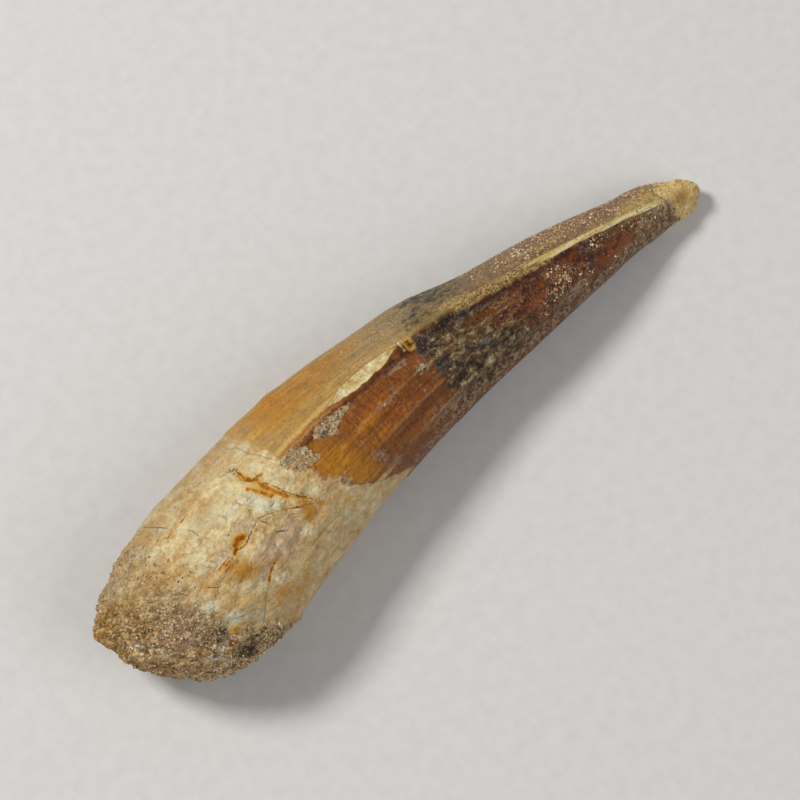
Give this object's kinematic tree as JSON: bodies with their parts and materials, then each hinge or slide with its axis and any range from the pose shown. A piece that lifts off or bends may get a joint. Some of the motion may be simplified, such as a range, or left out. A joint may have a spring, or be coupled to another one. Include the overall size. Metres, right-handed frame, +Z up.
{
  "type": "fossil dinosaur tooth",
  "caption": "Curved conical fossil tooth with a ridged enamel crown, a cream root and a sandstone crust on the root end, lying on its side.",
  "frame": {"origin": "middle of the bounding box, on the surface that the tooth lies on", "axes": "+X along the tooth from the root end to the tip, +Y to the outside of its curve, +Z up from the surface that it lies on"},
  "size_m": [0.0592, 0.0144, 0.0113],
  "materials": {
    "fossil_tooth": "mineralised dentine and enamel: amber to red-brown crown with a satin gloss, matt cream root with orange-stained cracks, granular tan sandstone on the root end and tip"
  },
  "bodies": {
    "root": {"tooth": "fossil_tooth"}
  },
  "joints": []
}
